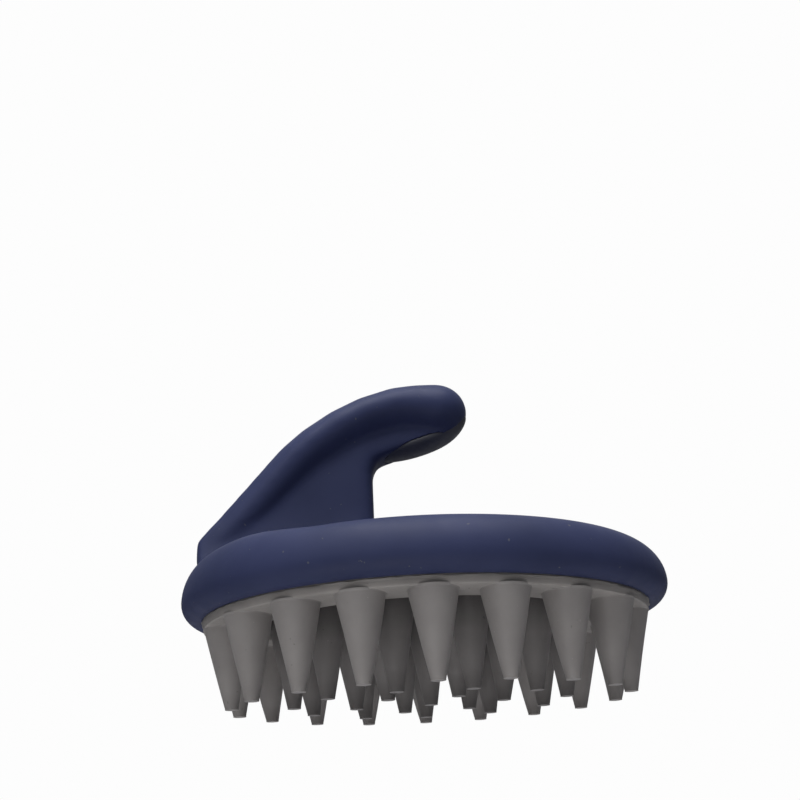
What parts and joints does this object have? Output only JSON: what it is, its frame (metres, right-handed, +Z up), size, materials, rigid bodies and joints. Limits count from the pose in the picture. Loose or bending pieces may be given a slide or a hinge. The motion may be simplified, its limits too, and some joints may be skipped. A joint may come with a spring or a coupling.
{
  "type": "scalp massager brush",
  "caption": "Oval hand brush with soft cone bristles below a flexible pad, held by a hooked one-finger handle, for massaging the scalp and working in shampoo.",
  "frame": {"origin": "centre of the plane of the bristle tips, under the middle of the oval head", "axes": "+X along the head's length, from the tail of the handle to the hook's nose; +Z up from the tips to the handle; Y across the head"},
  "size_m": [0.095, 0.0796, 0.0657],
  "materials": {
    "navy_soft_touch": "matte soft-touch elastomer",
    "grey_silicone": "matte moulded silicone",
    "dark_insert": "fine satin plastic",
    "core_plastic": "plain moulded plastic",
    "seal_rubber": "plain black rubber",
    "screw_steel": "bright stainless"
  },
  "bodies": {
    "root": {"soft_cover": "navy_soft_touch", "handle_grip": "navy_soft_touch", "hook_insert": "dark_insert", "handle_core": "core_plastic", "handle_screws": "screw_steel", "top_shell": "core_plastic", "head_seal": "seal_rubber", "pad_carrier": "core_plastic", "carrier_screws": "screw_steel", "silicone_pad": "grey_silicone", "outer_bristles": "grey_silicone", "middle_bristles": "grey_silicone", "inner_bristles": "grey_silicone", "centre_bristle": "grey_silicone"}
  },
  "joints": []
}
